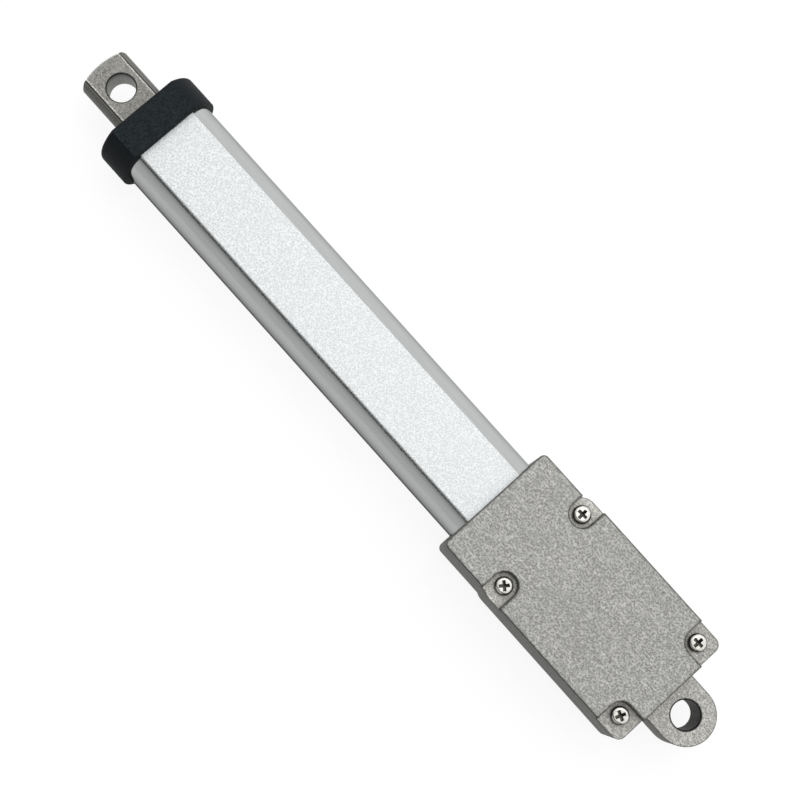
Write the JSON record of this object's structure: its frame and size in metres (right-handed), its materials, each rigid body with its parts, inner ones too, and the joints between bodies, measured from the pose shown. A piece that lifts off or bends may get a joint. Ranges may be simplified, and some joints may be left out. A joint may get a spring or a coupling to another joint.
{
  "type": "electric linear actuator",
  "caption": "Small electric linear actuator: a motor and planetary gears in a cast case turn a screw that slides a flat-sided rod with an eye out of an aluminium tube.",
  "frame": {"origin": "centre of the rear eye's bore, midway through the ear", "axes": "+X along the screw towards the rod's eye, the way the rod extends; +Z along the eyes' bores, out of the screwed cover; +Y to the left looking along +X with the cover up"},
  "size_m": [0.183, 0.0292, 0.0176],
  "materials": {
    "zinc_casting": "bead-blasted",
    "anodised_aluminium": "satin anodised",
    "cap_plastic": "moulded",
    "rod_steel": "ground",
    "nickel_screw": "nickel plated",
    "black_rubber": "moulded",
    "guide_plastic": "moulded",
    "can_steel": "zinc plated",
    "bell_plastic": "moulded",
    "ferrite": "sintered",
    "bearing_bronze": "sintered",
    "copper": "enamelled wire",
    "brass": "turned",
    "carbon": "pressed",
    "gear_steel": "sintered",
    "screw_steel": "rolled",
    "bearing_steel": "ground",
    "board_laminate": "solder resist",
    "switch_plastic": "moulded",
    "button_plastic": "moulded"
  },
  "bodies": {
    "body": {"gear_case": "zinc_casting", "gear_cover": "zinc_casting", "cover_screws": "nickel_screw", "wire_grommet": "black_rubber", "outer_tube": "anodised_aluminium", "end_cap": "cap_plastic", "rod_bush": "guide_plastic", "wiper_seal": "black_rubber", "motor_can": "can_steel", "motor_end_bell": "bell_plastic", "motor_magnets": "ferrite", "front_bush": "bearing_bronze", "rear_bush": "bearing_bronze", "motor_terminals": "brass", "motor_brushes": "carbon", "gearbox_plate": "can_steel", "ring_gear": "gear_steel", "bearing_outer_ring": "bearing_steel", "switch_board": "board_laminate", "rear_limit_switch": "switch_plastic", "front_limit_switch": "switch_plastic", "blocking_diodes": "switch_plastic"},
    "rotor": {"motor_shaft": "screw_steel", "armature_core": "gear_steel", "armature_windings": "copper", "commutator": "copper", "sun_gear_1": "brass"},
    "first_carrier": {"planet_carrier_1": "gear_steel", "carrier_1_pins": "bearing_steel", "sun_gear_2": "gear_steel"},
    "planet_1a": {"planet_1a": "guide_plastic"},
    "planet_1b": {"planet_1b": "guide_plastic"},
    "planet_1c": {"planet_1c": "guide_plastic"},
    "output": {"planet_carrier_2": "gear_steel", "carrier_2_pins": "bearing_steel", "lead_screw": "screw_steel", "bearing_inner_ring": "bearing_steel", "retaining_ring": "screw_steel"},
    "planet_2a": {"planet_2a": "gear_steel"},
    "planet_2b": {"planet_2b": "gear_steel"},
    "planet_2c": {"planet_2c": "gear_steel"},
    "cage": {"bearing_balls": "bearing_steel", "ball_cage": "brass"},
    "rod": {"push_rod": "rod_steel", "drive_nut": "brass", "nut_pins": "bearing_steel"},
    "rear_button": {"rear_switch_button": "button_plastic"},
    "front_button": {"front_switch_button": "button_plastic"}
  },
  "joints": [
    {"name": "rod_slide", "type": "slide", "parent": "body", "child": "rod", "axis": [1, 0, 0], "range_m": [0, 0.08]},
    {"name": "output_spin", "type": "hinge", "parent": "body", "child": "output", "pos_m": [0.0455, 0, 0], "axis": [-1, 0, 0], "range_deg": [-0.1, 14400.1]},
    {"name": "first_carrier_spin", "type": "hinge", "parent": "body", "child": "first_carrier", "pos_m": [0.0359, 0, 0], "axis": [-1, 0, 0], "range_deg": [-0.1, 64800.1]},
    {"name": "motor_spin", "type": "hinge", "parent": "body", "child": "rotor", "pos_m": [0.02, 0, 0], "axis": [-1, 0, 0], "range_deg": [-0.1, 291600.1]},
    {"name": "planet_1a_spin", "type": "hinge", "parent": "first_carrier", "child": "planet_1a", "pos_m": [0.0337, 0.00405, 0], "axis": [-1, 0, 0], "range_deg": [-181440.1, 0.1]},
    {"name": "planet_1b_spin", "type": "hinge", "parent": "first_carrier", "child": "planet_1b", "pos_m": [0.0337, -0.00202, 0.00351], "axis": [-1, 0, 0], "range_deg": [-181440.1, 0.1]},
    {"name": "planet_1c_spin", "type": "hinge", "parent": "first_carrier", "child": "planet_1c", "pos_m": [0.0337, -0.00202, -0.00351], "axis": [-1, 0, 0], "range_deg": [-181440.1, 0.1]},
    {"name": "planet_2a_spin", "type": "hinge", "parent": "output", "child": "planet_2a", "pos_m": [0.0382, 0.00405, 0], "axis": [-1, 0, 0], "range_deg": [-40320.1, 0.1]},
    {"name": "planet_2b_spin", "type": "hinge", "parent": "output", "child": "planet_2b", "pos_m": [0.0382, -0.00202, 0.00351], "axis": [-1, 0, 0], "range_deg": [-40320.1, 0.1]},
    {"name": "planet_2c_spin", "type": "hinge", "parent": "output", "child": "planet_2c", "pos_m": [0.0382, -0.00202, -0.00351], "axis": [-1, 0, 0], "range_deg": [-40320.1, 0.1]},
    {"name": "ball_cage_spin", "type": "hinge", "parent": "body", "child": "cage", "pos_m": [0.0455, 0, 0], "axis": [-1, 0, 0], "range_deg": [-0.1, 5600.1]},
    {"name": "rear_button_press", "type": "slide", "parent": "body", "child": "rear_button", "axis": [-1, 0, 0], "range_m": [0, 0.0003], "stiffness_N_per_m": 1000},
    {"name": "front_button_press", "type": "slide", "parent": "body", "child": "front_button", "axis": [1, 0, 0], "range_m": [0, 0.0003], "stiffness_N_per_m": 1000}
  ],
  "couplings": [
    {"joint": "output_spin", "follows": "rod_slide", "rad_per_m": 3141.6},
    {"joint": "first_carrier_spin", "follows": "rod_slide", "rad_per_m": 14137},
    {"joint": "motor_spin", "follows": "rod_slide", "rad_per_m": 63617},
    {"joint": "planet_1a_spin", "follows": "rod_slide", "rad_per_m": -39584},
    {"joint": "planet_1b_spin", "follows": "rod_slide", "rad_per_m": -39584},
    {"joint": "planet_1c_spin", "follows": "rod_slide", "rad_per_m": -39584},
    {"joint": "planet_2a_spin", "follows": "rod_slide", "rad_per_m": -8796.5},
    {"joint": "planet_2b_spin", "follows": "rod_slide", "rad_per_m": -8796.5},
    {"joint": "planet_2c_spin", "follows": "rod_slide", "rad_per_m": -8796.5},
    {"joint": "ball_cage_spin", "follows": "rod_slide", "rad_per_m": 1221.7}
  ]
}
